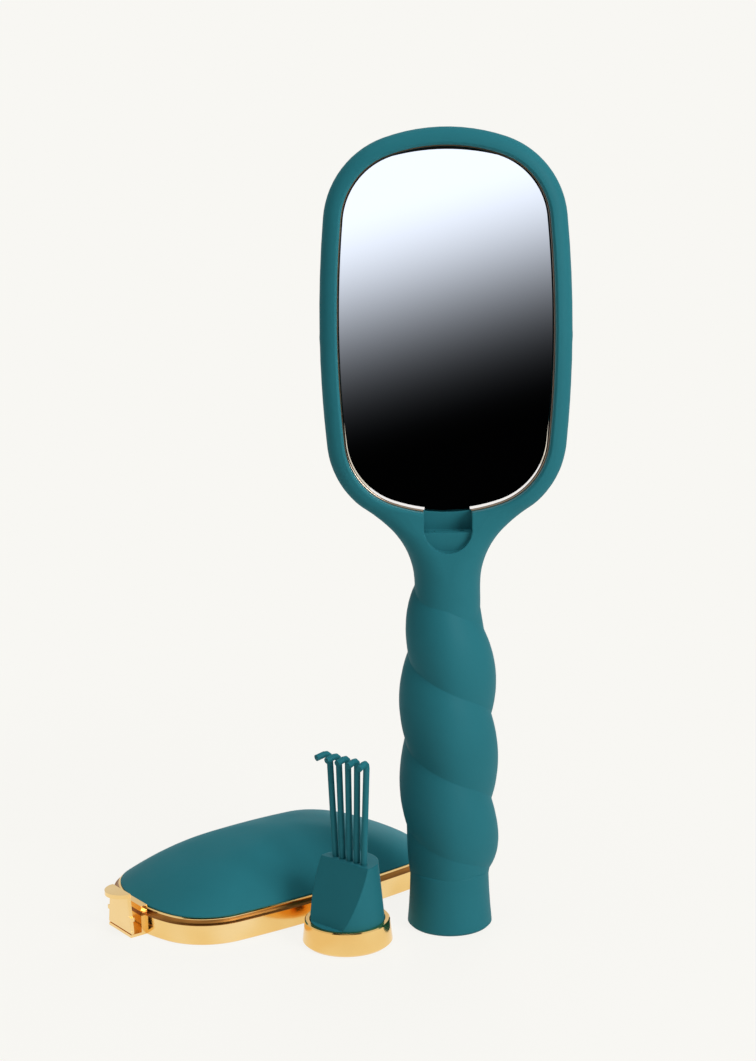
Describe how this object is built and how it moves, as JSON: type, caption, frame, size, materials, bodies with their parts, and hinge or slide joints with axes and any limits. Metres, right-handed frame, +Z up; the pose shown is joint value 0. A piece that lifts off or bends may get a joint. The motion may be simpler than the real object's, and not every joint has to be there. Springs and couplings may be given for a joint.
{
  "type": "grooming hairbrush with mirror, cover and cleaning rake",
  "caption": "Twisted-grip paddle hairbrush with a mirror on one face and boar bristles on the other, its clip-on mirror cover and a hooked cleaning rake that stores in the grip.",
  "frame": {"origin": "centre of the grip's end, on the floor that the brush stands on", "axes": "+Z up along the grip, the mirror faces -Y and the bristles face +Y, +X to the right of the mirror's viewer"},
  "size_m": [0.1486, 0.1073, 0.2497],
  "materials": {
    "teal_satin": "soft satin",
    "gold_plate": "polished gold plating",
    "mirror": "silvered glass",
    "backing": "adhesive foam",
    "rubber_pad": "matt",
    "bristle": "natural boar bristle"
  },
  "bodies": {
    "handle": {"handle_body": "teal_satin", "mirror_backing": "backing", "mirror_glass": "mirror", "mirror_bezel": "gold_plate", "cushion_trim": "gold_plate", "bristle_cushion": "rubber_pad", "boar_tufts": "bristle"},
    "cover": {"cover_rim": "gold_plate", "cover_dome": "teal_satin"},
    "latch": {"cover_latch": "gold_plate"},
    "rake": {"cap_ring": "gold_plate", "rake_cone": "teal_satin", "rake_tines": "teal_satin"}
  },
  "joints": [
    {"name": "cover_lift", "type": "slide", "parent": "handle", "child": "cover", "axis": [0, 0, 1], "range_m": [0, 0.1]},
    {"name": "latch_press", "type": "hinge", "parent": "cover", "child": "latch", "pos_m": [-0.10494, -0.00455, 0.00155], "axis": [-0.6018, 0.7986, 0], "range_deg": [0, 9], "stiffness_Nm_per_rad": 0.3},
    {"name": "rake_lift", "type": "slide", "parent": "handle", "child": "rake", "axis": [0, 0, 1], "range_m": [0, 0.06]}
  ]
}
